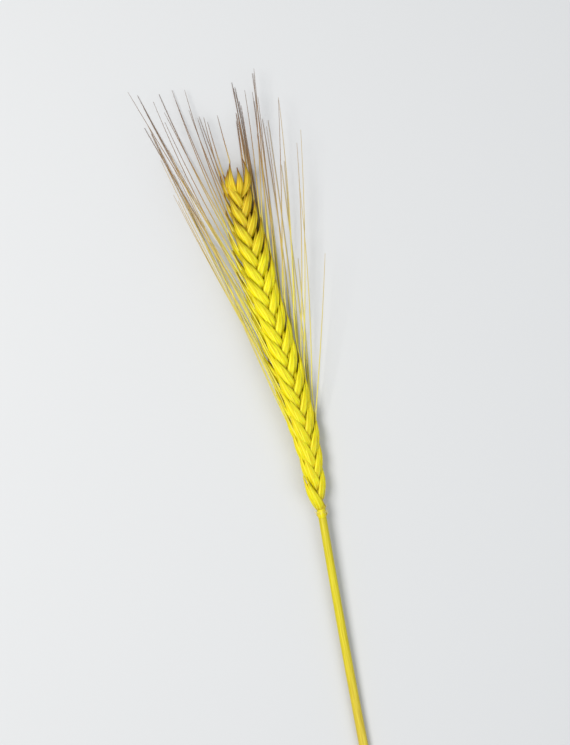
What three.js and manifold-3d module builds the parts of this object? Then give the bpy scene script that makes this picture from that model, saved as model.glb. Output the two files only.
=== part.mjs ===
// A bearded wheat ear on a length of its straw, dried and dyed yellow, lying on a flat surface.
//
// Lengths are in millimetres. +Z is up and the surface is the plane Z = 0. The straw runs along +Y, its cut end
// first, and the ear carries on from it and bends gently towards -X. The origin is on the surface, under the
// middle of the object's box.
//
// A wheat ear is a zigzag axis, the rachis, with one spikelet at each of its joints, left and right in turn. A
// spikelet is two boat-shaped glumes that clasp three florets side by side, and each floret's husk runs out into a
// long stiff awn. All of them grow from one another, so the ear is one solid. The straw is the other one.
import * as THREE from "three";
import { mergeVertices } from "three/addons/utils/BufferGeometryUtils.js";
import Module from "manifold-3d";

const wasm = await Module();
wasm.setup();

// Driving dimensions
const EAR_LENGTH = 114;
const STRAW_LENGTH = 86;
const STRAW_RADIUS_TOP = 1.3;
const STRAW_RADIUS_CUT = 1.5;
const STRAW_BORE = 0.8;
const STRAW_BORE_DEPTH = 14;
const JOINT_GAP = 0.3;
const COLLAR_POSITION = new THREE.Vector2(11.57, -27.98);

// The line of the axis: its bend in plan, and its height above the surface
const EAR_SWAY = 9.2;
const SWAY_LENGTH = 110;
const STRAW_BOW = 0.00016;
const CUT_HEIGHT = 1.4;
const COLLAR_HEIGHT = 3.7;
const COLLAR_RISE = 0.026;
const EAR_DROOP = 0.00026;

// How the two rows of spikelets are turned about the axis: the left row is tipped up by this angle
const ROW_ROLL = THREE.MathUtils.degToRad(27);
const ROW_TWIST = THREE.MathUtils.degToRad(-10);

// The rachis and its spikelets
const SPIKELETS = 31;
const FIRST_NODE = 2.6;
const INTERNODE = 3.25;
const RACHIS_WIDTH = 5.4;
const RACHIS_THICKNESS = 5.2;
const RACHIS_ZIGZAG = 0.35;
const SPIKELET_LEAN = 8;
const LOWEST_STANDS_OFF = 4;
const COLLAR_RADIUS = 1.75;
const COLLAR_LENGTH = 2.2;

// The awns
const AWN_REACH = 148;
const AWN_LONGEST = 84;
const AWN_RADIUS = 0.34;
const AWN_TIP_RADIUS = 0.13;
const AWN_SPREAD = 16.5;
const AWN_FANS = { left: [0, -58], right: [48, -30] };
const AWN_TURNED = 0.18;
const AWN_CURL = 0.045;

const SEED = 11;
const toRadians = THREE.MathUtils.degToRad;
const clamp = THREE.MathUtils.clamp;

// A repeatable draw between -1 and 1: the same spikelet and purpose always give the same number.
function draw(spikelet, purpose) {
  const wave = Math.sin(spikelet * 127.1 + purpose * 311.7 + SEED) * 43758.5453;
  return 2 * (wave - Math.floor(wave)) - 1;
}

// Any sum of vectors, each with its own factor: sum(2, a, 3, b) is 2a + 3b.
function sum(...pairs) {
  const total = new THREE.Vector3();
  for (let i = 0; i < pairs.length; i += 2) total.addScaledVector(pairs[i + 1], pairs[i]);
  return total;
}

// The middle line at distance t past the collar. On the straw t is negative.
function axisPoint(t) {
  const onEar = t > 0;
  const sway = (EAR_SWAY / 2) * (1 - Math.cos((Math.PI * Math.min(t, SWAY_LENGTH)) / SWAY_LENGTH));
  const share = 1 + t / STRAW_LENGTH;
  const rise = COLLAR_HEIGHT - CUT_HEIGHT;
  const lift = share * share * (3 - 2 * share) * rise + share * share * t * COLLAR_RISE;
  return new THREE.Vector3(
    COLLAR_POSITION.x + (onEar ? -sway : STRAW_BOW * t * t),
    COLLAR_POSITION.y + t,
    onEar ? COLLAR_HEIGHT + COLLAR_RISE * t - EAR_DROOP * t * t : CUT_HEIGHT + lift,
  );
}

// The directions at t: along the axis, towards the left row of spikelets, and across both rows.
function axisFrame(t) {
  const step = 0.5;
  const along = axisPoint(t + step).sub(axisPoint(t - step)).normalize();
  const left = new THREE.Vector3(0, 0, 1).cross(along).normalize();
  const up = along.clone().cross(left);
  const roll = ROW_ROLL + ROW_TWIST * (t / EAR_LENGTH - 0.5);
  const row = sum(Math.cos(roll), left, Math.sin(roll), up);
  const across = sum(-Math.sin(roll), left, Math.cos(roll), up);
  return { along, row, across };
}

// A closed mesh as a solid.
function solidOf(geometry) {
  const bare = geometry.clone();
  bare.deleteAttribute("normal");
  bare.deleteAttribute("uv");
  const merged = mergeVertices(bare, 1e-4);
  const made = new wasm.Manifold(
    new wasm.Mesh({
      numProp: 3,
      vertProperties: new Float32Array(merged.attributes.position.array),
      triVerts: new Uint32Array(merged.index.array),
    }),
  );
  if (made.volume() < 0) throw new Error("a piece is inside out");
  return made;
}

// A solid as a mesh's geometry, with flat faces.
function geometryOf(solid) {
  const mesh = solid.getMesh();
  const positions = new THREE.BufferAttribute(new Float32Array(mesh.vertProperties), 3);
  const geometry = new THREE.BufferGeometry().setAttribute("position", positions);
  geometry.setIndex(new THREE.BufferAttribute(new Uint32Array(mesh.triVerts), 1));
  const faceted = geometry.toNonIndexed();
  faceted.computeVertexNormals();
  return faceted;
}

// Moves each vertex of a geometry by a function of its position.
function reshape(geometry, place) {
  const positions = geometry.attributes.position;
  const vertex = new THREE.Vector3();
  for (let i = 0; i < positions.count; i += 1) {
    const moved = place(vertex.fromBufferAttribute(positions, i));
    positions.setXYZ(i, moved.x, moved.y, moved.z);
  }
  return geometry;
}

// A spindle along a curved line, with an oval section: wide along one direction, thick along the other.
function spindle({ line, outline, width, thickness, thickWay, sides }) {
  const profile = outline.map(([height, radius]) => new THREE.Vector2(radius, height));
  const blank = new THREE.LatheGeometry(profile, sides);
  return solidOf(
    reshape(blank, (v) => {
      const share = clamp(v.y, 0, 1);
      const along = line.getTangent(share).normalize();
      const wide = along.clone().cross(thickWay).normalize();
      const thick = wide.clone().cross(along);
      return sum(1, line.getPoint(share), v.x * width, wide, v.z * thickness, thick);
    }),
  );
}

// How long and how broad a spikelet is against the largest, which sit two thirds up the ear.
function spikeletSize(k) {
  const { smoothstep } = THREE.MathUtils;
  return (0.8 + 0.2 * smoothstep(k, -1, 5)) * (1 - 0.2 * smoothstep(k, SPIKELETS - 10, SPIKELETS + 1));
}

function spikeletBreadth(k) {
  const { smoothstep } = THREE.MathUtils;
  return (0.62 + 0.38 * smoothstep(k, -2, 14)) * (1 - 0.1 * smoothstep(k, SPIKELETS - 8, SPIKELETS + 1));
}

// Where spikelet k sits and how it points: outwards from its row, or along the axis for the last one.
function spikeletPlace(k) {
  const t = FIRST_NODE + k * INTERNODE;
  const { along, row, across } = axisFrame(t);
  const terminal = k === SPIKELETS;
  const side = k % 2 === 0 ? 1 : -1;
  const standsOff = k === 0 ? LOWEST_STANDS_OFF : 0;
  const lean = terminal ? 0 : toRadians(SPIKELET_LEAN * spikeletBreadth(k) + standsOff + 2.5 * draw(k, 1));
  const outward = terminal ? across.clone() : row.clone().multiplyScalar(side);
  const broad = terminal ? row : across;
  return {
    k,
    t,
    terminal,
    size: spikeletSize(k),
    breadth: spikeletBreadth(k),
    foot: sum(1, axisPoint(t), terminal ? 0 : RACHIS_ZIGZAG, outward),
    length: sum(Math.cos(lean), along, Math.sin(lean), outward),
    outward: sum(-Math.sin(lean), along, Math.cos(lean), outward),
    broad,
    along,
    rowWay: outward,
  };
}

// A point of a spikelet: a along it, b towards its near or far side, c away from the rachis.
function inSpikelet(place, a, b, c) {
  const breadth = place.size * place.breadth;
  return sum(1, place.foot, place.size * a, place.length, breadth * b, place.broad, breadth * c, place.outward);
}

// The bent middle line of a husk. Its tip is moved a little by draws of its own.
function curveThrough(place, [root, bend, tip], key) {
  const moved = [
    tip[0] + 0.4 * draw(place.k, key + 50),
    tip[1] + 0.3 * draw(place.k, key + 60),
    tip[2] + 0.25 * draw(place.k, key + 70),
  ];
  return new THREE.QuadraticBezierCurve3(...[root, bend, moved].map((p) => inSpikelet(place, ...p)));
}

// Outlines of the husks: height along the husk and the half-width there, both as shares.
const GLUME_OUTLINE = [[0, 0], [0.2, 1], [0.62, 0.78], [1, 0]];
const FLORET_OUTLINE = [[0, 0], [0.2, 0.92], [0.56, 0.84], [1, 0]];

// A glume clasps one side of the spikelet: a shallow boat with its keel outside.
function glume(place, side) {
  const points = [[-1.2, 0.4 * side, -0.4], [3.6, 3.6 * side, 1.4], [10.6, 2.4 * side, 1.9]];
  return spindle({
    line: curveThrough(place, points, side > 0 ? 1 : 2),
    outline: GLUME_OUTLINE,
    width: 1.3 * place.size,
    thickness: 0.85 * place.size,
    thickWay: sum(side, place.broad, 0.45, place.outward).normalize(),
    sides: 4,
  });
}

// The three florets of a spikelet: one each side, and a third that stands between them and higher.
const FLORETS = [
  { side: 1, points: [[-0.4, 0.4, -0.2], [5, 3.1, 3], [13.6, 1.7, 2.9]], width: 1.4 },
  { side: -1, points: [[-0.4, -0.4, -0.2], [5, -3.1, 3], [13.6, -1.7, 2.9]], width: 1.4 },
  { side: 0, points: [[0, 0, -0.1], [5.6, 0, 4.6], [14, 0, 3.7]], width: 1.4 },
];

function floretLine(place, floret) {
  return curveThrough(place, floret.points, 4 + floret.side);
}

function floretHusk(place, floret) {
  return spindle({
    line: floretLine(place, floret),
    outline: FLORET_OUTLINE,
    width: floret.width * place.size,
    thickness: 1.15 * place.size,
    thickWay: sum(floret.side, place.broad, 0.8, place.outward).normalize(),
    sides: 5,
  });
}

// Awns end together, a little past the tip of the ear, so the low ones are the longest up to a limit.
function awnLength(place, floret) {
  const room = AWN_REACH - place.t - 11.5 * place.size;
  const foot = clamp(0.6 + 0.1 * place.k, 0, 1);
  const top = 1 - 0.45 * THREE.MathUtils.smoothstep(place.k, SPIKELETS - 7, SPIKELETS);
  const wanted = Math.min(AWN_LONGEST, room) * foot * top;
  return wanted * (0.92 + 0.12 * draw(place.k, 20 + floret.side));
}

// The outer florets carry the awns. The third one ends in a point, and so do all on the lowest spikelets.
function hasAwn(place, floret) {
  return place.k >= 2 && floret.side !== 0;
}

// Nothing passes below the surface: a height under it is eased up until the awn lies along it.
function restOnSurface(point, clearance) {
  const ease = 0.35;
  const over = (point.z - clearance) / ease;
  const height = over > 20 ? over : Math.log1p(Math.exp(over));
  return point.setZ(clearance + ease * height);
}

// An awn leaves its floret along the husk, soon turns to its own bearing, and then runs on with a faint bend back
// towards the ear.
function awnPoint(place, floret, length, share) {
  const line = floretLine(place, floret);
  const start = line.getPoint(0.86);
  const leaves = line.getTangent(1).normalize();
  const top = THREE.MathUtils.smoothstep(place.k, SPIKELETS - 13, SPIKELETS);
  const spread = toRadians(AWN_SPREAD * (1 - 0.5 * top) + 3.2 * draw(place.k, 30 + floret.side));
  const fans = place.k % 2 === 0 ? AWN_FANS.left : AWN_FANS.right;
  const fan = toRadians(fans[floret.side > 0 ? 0 : 1] + 8 * draw(place.k, 40 + floret.side));
  const radial = sum(Math.cos(fan), place.rowWay, Math.sin(fan), place.broad);
  const bearing = sum(Math.cos(spread), place.along, Math.sin(spread), radial);
  const early = Math.min(share, AWN_TURNED);
  const blend = early - (early * early) / (2 * AWN_TURNED);
  const curl = -AWN_CURL * (1 + 0.6 * draw(place.k, 45 + floret.side)) * length * share * share;
  const point = sum(1, start, length * blend, leaves, length * (share - blend), bearing, curl, radial);
  return restOnSurface(point, AWN_TIP_RADIUS);
}

const AWN_RINGS = [0, AWN_TURNED, 1];

function awn(place, floret) {
  const length = awnLength(place, floret);
  const blank = new THREE.CylinderGeometry(1, 1, 1, 3, AWN_RINGS.length - 1);
  return solidOf(
    reshape(blank, (v) => {
      const ring = Math.round((v.y + 0.5) * (AWN_RINGS.length - 1));
      const share = AWN_RINGS[ring];
      const point = awnPoint(place, floret, length, share);
      const ahead = awnPoint(place, floret, length, share + 0.02);
      const along = ahead.sub(point).normalize();
      const wide = along.clone().cross(place.outward).normalize();
      const thick = wide.clone().cross(along);
      const radius = THREE.MathUtils.lerp(AWN_RADIUS, AWN_TIP_RADIUS, share);
      const vertex = sum(1, point, v.x * radius, wide, v.z * radius, thick);
      return vertex.setZ(Math.max(vertex.z, 0));
    }),
  );
}

// The rachis is a flattened strap that steps away from each spikelet in turn.
function rachis() {
  const top = FIRST_NODE + SPIKELETS * INTERNODE;
  const steps = SPIKELETS + 1;
  const blank = new THREE.BoxGeometry(1, 1, 1, 1, 1, steps);
  return solidOf(
    reshape(blank, (v) => {
      const ring = Math.round((v.z + 0.5) * steps);
      const t = ring === 0 ? 0.2 : FIRST_NODE + (ring - 1) * INTERNODE;
      const { row, across } = axisFrame(t);
      const shift = ring === 0 || t >= top ? 0 : RACHIS_ZIGZAG * (ring % 2 === 0 ? 1 : -1);
      const taper = ring === 0 ? 0.4 : Math.min(0.6 + 0.12 * ring, 1) - 0.4 * (t / top);
      const offset = shift + v.x * RACHIS_THICKNESS * taper;
      return sum(1, axisPoint(t), offset, row, v.y * RACHIS_WIDTH * taper, across);
    }),
  );
}

// The collar is the swollen ring where the ear sits on the straw.
function collar() {
  const outline = [[0, 0], [0, 1.5], [0.35, COLLAR_RADIUS], [0.75, 1.55], [1, 0.95], [1, 0]];
  const blank = new THREE.LatheGeometry(outline.map(([h, r]) => new THREE.Vector2(r, h)), 8);
  return solidOf(
    reshape(blank, (v) => {
      const t = v.y * COLLAR_LENGTH;
      const { row, across } = axisFrame(t);
      return sum(1, axisPoint(t), v.x, row, -v.z, across);
    }),
  );
}

function spikelet(k) {
  const place = spikeletPlace(k);
  const husks = [glume(place, 1), glume(place, -1), ...FLORETS.map((f) => floretHusk(place, f))];
  const awns = FLORETS.filter((f) => hasAwn(place, f)).map((f) => awn(place, f));
  return [...husks, ...awns];
}

// Cuts off what would sink into the surface, which leaves the small flat spots that the ear rests on.
function trimmedAtSurface(solid) {
  const block = new THREE.BoxGeometry(400, 400, 20).translate(0, 0, -10);
  return solid.subtract(solidOf(block));
}

// The largest body of a solid, without scraps and sealed hollows.
function mainBody(solid) {
  const bodies = solid.decompose();
  return bodies.reduce((best, body) => (body.volume() > best.volume() ? body : best));
}

function ear() {
  const pieces = [rachis(), collar()];
  for (let k = 0; k <= SPIKELETS; k += 1) pieces.push(...spikelet(k));
  const joined = wasm.Manifold.union(pieces);
  return mainBody(trimmedAtSurface(joined).simplify(0.06));
}

// The straw is a tapering tube, bored at its cut end as straw is, and pressed flat where it touches the surface.
function strawTube(radiusTop, radiusCut, from, to, sides, steps) {
  const blank = new THREE.CylinderGeometry(1, 1, 1, sides, steps);
  return solidOf(
    reshape(blank, (v) => {
      const t = THREE.MathUtils.lerp(from, to, v.y + 0.5);
      const share = 1 + t / STRAW_LENGTH;
      const radius = THREE.MathUtils.lerp(radiusCut, radiusTop, clamp(share, 0, 1));
      const { row, across } = axisFrame(t);
      const point = sum(1, axisPoint(t), v.x * radius, row, -v.z * radius, across);
      return point.setZ(Math.max(point.z, 0));
    }),
  );
}

function straw() {
  const outside = strawTube(STRAW_RADIUS_TOP, STRAW_RADIUS_CUT, -STRAW_LENGTH, -JOINT_GAP, 12, 22);
  const bore = strawTube(STRAW_BORE, STRAW_BORE, -STRAW_LENGTH - 1, STRAW_BORE_DEPTH - STRAW_LENGTH, 8, 4);
  return outside.subtract(bore);
}

const wheatYellow = new THREE.MeshStandardMaterial({ color: 0xdcd015, roughness: 0.55, metalness: 0 });
const strawYellow = new THREE.MeshStandardMaterial({ color: 0xe2cf48, roughness: 0.45, metalness: 0 });

const wheatEar = new THREE.Group();
for (const [name, solid, material] of [
  ["ear", ear(), wheatYellow],
  ["straw", straw(), strawYellow],
]) {
  const mesh = new THREE.Mesh(geometryOf(solid), material);
  mesh.name = name;
  wheatEar.add(mesh);
}

export default wheatEar;
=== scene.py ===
# %% [markdown]
# # A bearded wheat ear
# The part is one dried ear of bearded wheat on a length of its straw, dyed lemon yellow and laid down.
# The solid part already fixes its size and its place. This lesson dresses it: every husk, awn and hair
# becomes a fine mesh, grown by the same rule that placed the plain solids, and each surface gets a finish
# made of shader nodes.

# %% Load the solid part
import math

import bpy
import numpy as np
from mathutils import Matrix, Vector


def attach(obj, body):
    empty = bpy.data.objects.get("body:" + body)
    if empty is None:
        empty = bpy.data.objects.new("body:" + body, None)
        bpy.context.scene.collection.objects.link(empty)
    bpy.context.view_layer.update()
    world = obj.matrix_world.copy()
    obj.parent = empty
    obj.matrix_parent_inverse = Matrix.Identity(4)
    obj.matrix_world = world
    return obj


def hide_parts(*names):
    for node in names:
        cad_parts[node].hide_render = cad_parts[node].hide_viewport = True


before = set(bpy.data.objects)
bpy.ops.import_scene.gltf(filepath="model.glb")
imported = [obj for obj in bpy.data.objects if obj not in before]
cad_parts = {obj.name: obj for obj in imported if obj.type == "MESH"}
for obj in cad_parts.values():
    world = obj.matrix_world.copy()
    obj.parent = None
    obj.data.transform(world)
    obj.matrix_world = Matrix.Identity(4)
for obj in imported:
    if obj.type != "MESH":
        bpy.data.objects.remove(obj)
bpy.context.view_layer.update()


# %% [markdown]
# ## The growth rule
# A wheat ear is a zigzag axis with one spikelet at each joint, left and right in turn. The husks could be
# placed by hand or scattered over a surface, but a real ear is this regular, so a rule with small seeded
# draws gives the right order and still looks grown. Lengths are in millimetres, and these first ones are
# those that the solid part was made with.

# %% Sizes of the ear and its straw
EAR_LENGTH = 114
STRAW_LENGTH = 86
STRAW_RADIUS_TOP = 1.3
STRAW_RADIUS_CUT = 1.5
STRAW_BORE = 0.8
STRAW_BORE_DEPTH = 14
JOINT_GAP = 0.3
COLLAR_X = 11.57
COLLAR_Y = -27.98
COLLAR_HEIGHT = 3.7
COLLAR_RISE = 0.026
CUT_HEIGHT = 1.4
EAR_SWAY = 9.2
SWAY_LENGTH = 110
EAR_DROOP = 0.00026
STRAW_BOW = 0.00016
ROW_ROLL = math.radians(27)
ROW_TWIST = math.radians(-10)
SPIKELETS = 31
FIRST_NODE = 2.6
INTERNODE = 3.25
RACHIS_TOP = FIRST_NODE + SPIKELETS * INTERNODE
RACHIS_ZIGZAG = 0.35

print("nodes from", FIRST_NODE, "to", round(RACHIS_TOP, 2), "mm past the collar")

# %% [markdown]
# ## Seeded draws
# No two husks or hairs are quite alike. Plain random numbers would do, but they change when a piece is
# added before them. Here each number follows from what it belongs to and what it is for, so that every
# piece keeps its own.

# %% Seeded draws and two small helpers
SEED = 11
DRAWS = {
    "lean": 1,
    "awn length": 20,
    "awn spread": 30,
    "awn fan": 40,
    "awn curl": 45,
    "tip along": 50,
    "tip sideways": 60,
    "tip outward": 70,
    "glume turn": 80,
    "lemma size": 85,
    "husk dye": 90,
    "collar hair place": 101,
    "collar hair length": 102,
    "collar hair droop": 103,
    "node hair place": 104,
    "node hair length": 105,
}


def draw(number, purpose, which=0):
    """A repeatable number from -1 to 1 for one spikelet or hair: what is left of a large sine."""
    wave = math.sin(number * 127.1 + (DRAWS[purpose] + which) * 311.7 + SEED) * 43758.5453
    return 2 * (wave - math.floor(wave)) - 1


def unit(vectors):
    """Vectors of length one in the same directions."""
    return vectors / np.linalg.norm(vectors, axis=-1, keepdims=True)


def smooth_step(value, low, high):
    """0 below low, 1 above high, and an even S between them."""
    share = np.clip((value - low) / (high - low), 0, 1)
    return share * share * (3 - 2 * share)


print("first draws:", [round(draw(number, "lean"), 2) for number in range(4)])

# %% [markdown]
# ## The line of the axis
# The ear sways to its left and droops a little, and the straw runs on from it down to the surface. A drawn
# curve would do as well, but a formula can be asked for its point and its directions at any distance. The
# two rows of spikelets are rolled around the axis, so that one row is seen more from its back.

# %% Points of the axis, and the directions around it
def axis_point(t):
    """The middle line at distance t past the collar. On the straw t is negative."""
    t = np.asarray(t, float)
    share = 1 + t / STRAW_LENGTH
    lift = share**2 * (3 - 2 * share) * (COLLAR_HEIGHT - CUT_HEIGHT) + share**2 * t * COLLAR_RISE
    sway = EAR_SWAY / 2 * (1 - np.cos(math.pi * np.clip(t, 0, SWAY_LENGTH) / SWAY_LENGTH))
    x = COLLAR_X + np.where(t > 0, -sway, STRAW_BOW * t * t)
    z = np.where(t > 0, COLLAR_HEIGHT + COLLAR_RISE * t - EAR_DROOP * t * t, CUT_HEIGHT + lift)
    return np.stack([x, COLLAR_Y + t, z], -1)


def axis_frame(t):
    """At t: the way along the axis, the way to the left row of spikelets, the way across both rows."""
    t = np.asarray(t, float)
    along = unit(axis_point(t + 0.5) - axis_point(t - 0.5))
    left = unit(np.cross([0.0, 0.0, 1.0], along))
    up = np.cross(along, left)
    roll = (ROW_ROLL + ROW_TWIST * (t / EAR_LENGTH - 0.5))[..., None]
    return along, np.cos(roll) * left + np.sin(roll) * up, np.cos(roll) * up - np.sin(roll) * left


print("top of the axis at", axis_point(EAR_LENGTH).round(1), "mm")

# %% [markdown]
# ## Spikelets
# Each spikelet leans out to its own side. Low on the ear they are smaller and closed, in the middle they
# are largest, and the last one stands crosswise and opens wide. Each could carry its own table of sizes.
# One small class works them out instead, and every husk, awn and hair asks it for its place.

# %% How size, breadth and lean change along the ear
LOW_SIZE = 0.8
SIZE_GAIN = 0.2
SIZE_GAINED_OVER = (-1, 5)
TOP_SHRINKS = 0.2
SHRINKS_OVER = (SPIKELETS - 10, SPIKELETS + 1)
LOW_BREADTH = 0.62
BREADTH_GAIN = 0.38
BREADTH_GAINED_OVER = (-2, 14)
TOP_NARROWS = 0.1
NARROWS_OVER = (SPIKELETS - 8, SPIKELETS + 1)
LAST_OPENS = 1.8
SPIKELET_LEAN = 8
LEAN_VARIES = 2.5
LOWEST_STANDS_OFF = 4


def size_of(number):
    """How long the husks of a spikelet are, as a share of the longest."""
    grown = LOW_SIZE + SIZE_GAIN * smooth_step(number, *SIZE_GAINED_OVER)
    return grown * (1 - TOP_SHRINKS * smooth_step(number, *SHRINKS_OVER))


def breadth_of(number):
    """How far a spikelet opens, as a share of those in the middle of the ear."""
    grown = LOW_BREADTH + BREADTH_GAIN * smooth_step(number, *BREADTH_GAINED_OVER)
    breadth = grown * (1 - TOP_NARROWS * smooth_step(number, *NARROWS_OVER))
    return breadth * LAST_OPENS if number == SPIKELETS else breadth


def lean_of(number):
    """How far a spikelet leans out from the axis, in radians."""
    if number == SPIKELETS:
        return 0
    stands_off = LOWEST_STANDS_OFF if number == 0 else 0
    own_lean = LEAN_VARIES * draw(number, "lean")
    return math.radians(SPIKELET_LEAN * breadth_of(number) + stands_off + own_lean)


print("breadth at the foot, middle and top:", [round(breadth_of(number), 2) for number in (0, 15, 30)])

# %% One spikelet: where it sits and how it points
TIP_VARIES = (0.4, 0.3, 0.25)


class Spikelet:
    """The husks at one joint. Its points lie a along it, b to its near or far side, c off the axis."""

    def __init__(self, number):
        self.number = number
        self.last = number == SPIKELETS
        self.left_row = number % 2 == 0
        self.t = FIRST_NODE + number * INTERNODE
        self.height = self.t / EAR_LENGTH
        self.size = size_of(number)
        self.breadth = breadth_of(number)
        self.along, row, across = axis_frame(self.t)
        side = 1 if self.left_row else -1
        self.row_way = across if self.last else row * side
        self.broad = row if self.last else across
        self.foot = axis_point(self.t) + (0 if self.last else RACHIS_ZIGZAG) * self.row_way
        lean = lean_of(number)
        self.forward = math.cos(lean) * self.along + math.sin(lean) * self.row_way
        self.outward = math.cos(lean) * self.row_way - math.sin(lean) * self.along

    def point(self, a, b, c):
        """A point of this spikelet, in the part's own millimetres."""
        sideways = self.breadth * (b * self.broad + c * self.outward)
        return self.foot + self.size * (a * self.forward + sideways)

    def curve(self, points, which):
        """The three points of a husk's middle line, the last one moved a little by its own draws."""
        root, bend, (a, b, c) = points
        a += TIP_VARIES[0] * draw(self.number, "tip along", which)
        b += TIP_VARIES[1] * draw(self.number, "tip sideways", which)
        c += TIP_VARIES[2] * draw(self.number, "tip outward", which)
        return np.array([self.point(*root), self.point(*bend), self.point(a, b, c)])


spikelets = [Spikelet(number) for number in range(SPIKELETS + 1)]
print("spikelets:", len(spikelets), "largest", round(max(s.size for s in spikelets), 2))

# %% [markdown]
# ## Husks as bent tubes
# A husk could be sculpted once and copied, but every one is bent and sized a little differently and nests
# in its neighbours. So each is a tube of rings along its own bent line: the outline says how wide each
# ring is, and a section says its shape, with the keel and the nerves as low ridges.

# %% Bent lines, outlines and rings
TINY = 1e-12


def bend_along(curve, shares):
    """Points and directions on the smooth line that three points steer."""
    first, middle, last = curve
    s = np.asarray(shares, float)[:, None]
    points = (1 - s) ** 2 * first + 2 * s * (1 - s) * middle + s**2 * last
    ways = 2 * (1 - s) * (middle - first) + 2 * s * (last - middle)
    return points, unit(ways)


def outline(stops, shares):
    """A smooth curve through (share, value) stops, without overshooting them."""
    x, y = np.array(stops, float).T
    slopes = np.diff(y) / np.diff(x)
    before, after = slopes[:-1], slopes[1:]
    inner = np.where(before * after > 0, 2 * before * after / (before + after + TINY), 0)
    tangent = np.concatenate([slopes[:1], inner, slopes[-1:]])
    k = np.clip(np.searchsorted(x, shares, side="right") - 1, 0, len(x) - 2)
    h = x[k + 1] - x[k]
    u = (shares - x[k]) / h
    start = y[k] * (1 + 2 * u) * (1 - u) ** 2 + tangent[k] * h * u * (1 - u) ** 2
    return start + y[k + 1] * u * u * (3 - 2 * u) + tangent[k + 1] * h * u * u * (u - 1)


def husk_rings(curve, thick_way, shares, width, thickness, section):
    """The rings of one husk: its section, wide across the line and thick towards thick_way."""
    middle, ways = bend_along(curve, shares)
    wide = unit(np.cross(ways, thick_way))
    thick = np.cross(wide, ways)
    across = (width[:, None] * section[0])[..., None] * wide[:, None, :]
    return middle[:, None, :] + across + (thickness[:, None] * section[1])[..., None] * thick[:, None, :]


def circles(turn, first, second, first_radius=1.0, second_radius=1.0):
    """A ring of points for each row of the two directions that it lies in."""
    points = first_radius * np.cos(turn)[None, :, None] * first[:, None, :]
    return points + second_radius * np.sin(turn)[None, :, None] * second[:, None, :]


print("halfway down an outline from 1 to 0:", outline([(0, 1), (1, 0)], np.array([0.5]))[0])

# %% [markdown]
# ## From rings to a mesh
# A skin could be laid over the rings with a modifier. Joining them here, ring to ring, keeps the count of
# faces in hand and lets each point carry values: how far along and around its husk it lies, how high up
# the ear, and the husk's own draw. The finishes read these later.

# %% From stacks of rings to a mesh
def add_mesh(name, vertices, faces, values, smooth):
    """A mesh object from points in millimetres, pressed flat where they would pass below the surface."""
    points = np.array(vertices, float)
    points[:, 2] = np.maximum(points[:, 2], 0)
    mesh = bpy.data.meshes.new(name)
    mesh.from_pydata((points * 0.001).tolist(), [], faces)
    for key, numbers in values.items():
        layer = mesh.attributes.new(key, "FLOAT", "POINT")
        layer.data.foreach_set("value", np.asarray(numbers, np.float32).ravel())
    mesh.polygons.foreach_set("use_smooth", [smooth] * len(mesh.polygons))
    mesh.update()
    piece = bpy.data.objects.new(name, mesh)
    bpy.context.scene.collection.objects.link(piece)
    print(f"{name}: {sum(len(face) - 2 for face in faces)} triangles")
    return piece


def add_tubes(name, tubes, values, smooth=True):
    """Closed tubes: tubes is (how many, rings, sides, 3), and each value fits (how many, rings, sides)."""
    count, rings, sides, _ = tubes.shape
    ring, side = np.meshgrid(np.arange(rings - 1), np.arange(sides), indexing="ij")
    here = ring * sides + side
    beside = ring * sides + (side + 1) % sides
    quads = np.stack([here, beside, beside + sides, here + sides]).reshape(4, -1).T
    foot = np.arange(sides)[::-1]
    tip = np.arange(sides) + (rings - 1) * sides
    faces = []
    for index in range(count):
        start = index * rings * sides
        faces += (quads + start).tolist()
        faces += [(foot + start).tolist(), (tip + start).tolist()]
    spread = {key: np.broadcast_to(numbers, (count, rings, sides)) for key, numbers in values.items()}
    return add_mesh(name, tubes.reshape(-1, 3), faces, spread, smooth)


def grow(places, maker):
    """Stacks the rings that maker gives for each (spikelet, side), with the values for the finishes."""
    made = [maker(spikelet, side) for spikelet, side in places]
    tubes = np.stack([rings for rings, _, _ in made])
    along = np.stack([np.broadcast_to(shares[:, None], rings.shape[:2]) for rings, shares, _ in made])
    around = np.stack([np.broadcast_to(turn, rings.shape[:2]) for rings, _, turn in made])
    height = np.array([spikelet.height for spikelet, _ in places])[:, None, None]
    own = [draw(spikelet.number, "husk dye", index % 7) for index, (spikelet, _) in enumerate(places)]
    return tubes, {"along": along, "around": around, "height": height, "own": np.array(own)[:, None, None]}


def on_side(points, side):
    """A husk's line on the near side (1) or the far side (-1), from its points for the near one."""
    return [(a, side * b, c) for a, b, c in points]


# %% [markdown]
# ## Glumes
# Two glumes clasp each spikelet. Each is a stiff boat with a sharp keel on its back, open towards the
# floret, and it ends in a short beak. A solid spindle would look like a grain, so the glume is a thin
# shell: its section runs over the back from one margin to the other and returns just inside, and the keel
# stands up as a narrow ridge. At the top of the ear and on its lowest spikelet the beaks stand off.

# %% Section of a glume
GLUME_BACK = 21
MARGIN_ANGLE = 1.9
KEEL_ANGLE = 0.3
KEEL_HEIGHT = 0.42
KEEL_WIDTH = 0.34
GLUME_NERVES = 9
GLUME_NERVE_HEIGHT = 0.03
GLUME_NERVES_END = 1.5
SHELL_INSIDE = 0.88
INSIDE_AROUND = 0.9


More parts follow.
